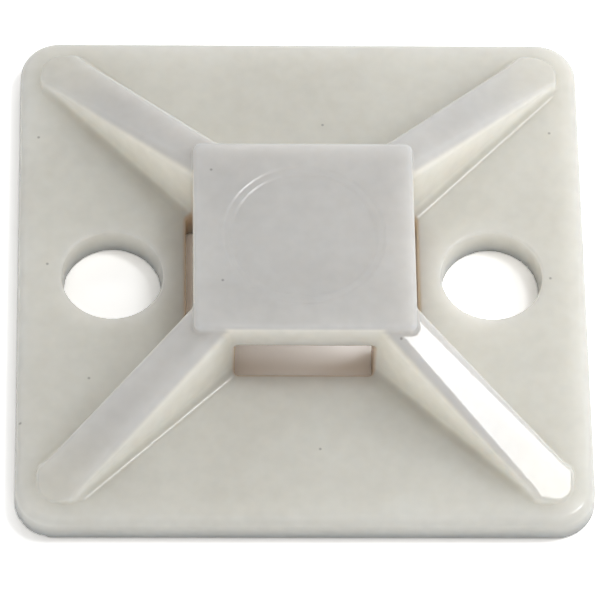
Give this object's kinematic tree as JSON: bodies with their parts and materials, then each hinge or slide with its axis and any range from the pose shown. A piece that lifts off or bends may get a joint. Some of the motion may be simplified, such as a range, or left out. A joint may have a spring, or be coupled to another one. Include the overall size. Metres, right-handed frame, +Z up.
{
  "type": "cable tie mount",
  "caption": "Square screw-down cable tie mount in natural nylon: four sloping legs carry a raised deck that a tie threads under from any side.",
  "frame": {"origin": "centre of the square underside, on the surface that the mount is fixed to", "axes": "+Z up, away from that surface; +X along the line of the two screw holes; +Y across it"},
  "size_m": [0.028, 0.028, 0.0053],
  "materials": {
    "nylon": "natural milky nylon, satin, slightly translucent"
  },
  "bodies": {
    "root": {"mount_body": "nylon"}
  },
  "joints": []
}
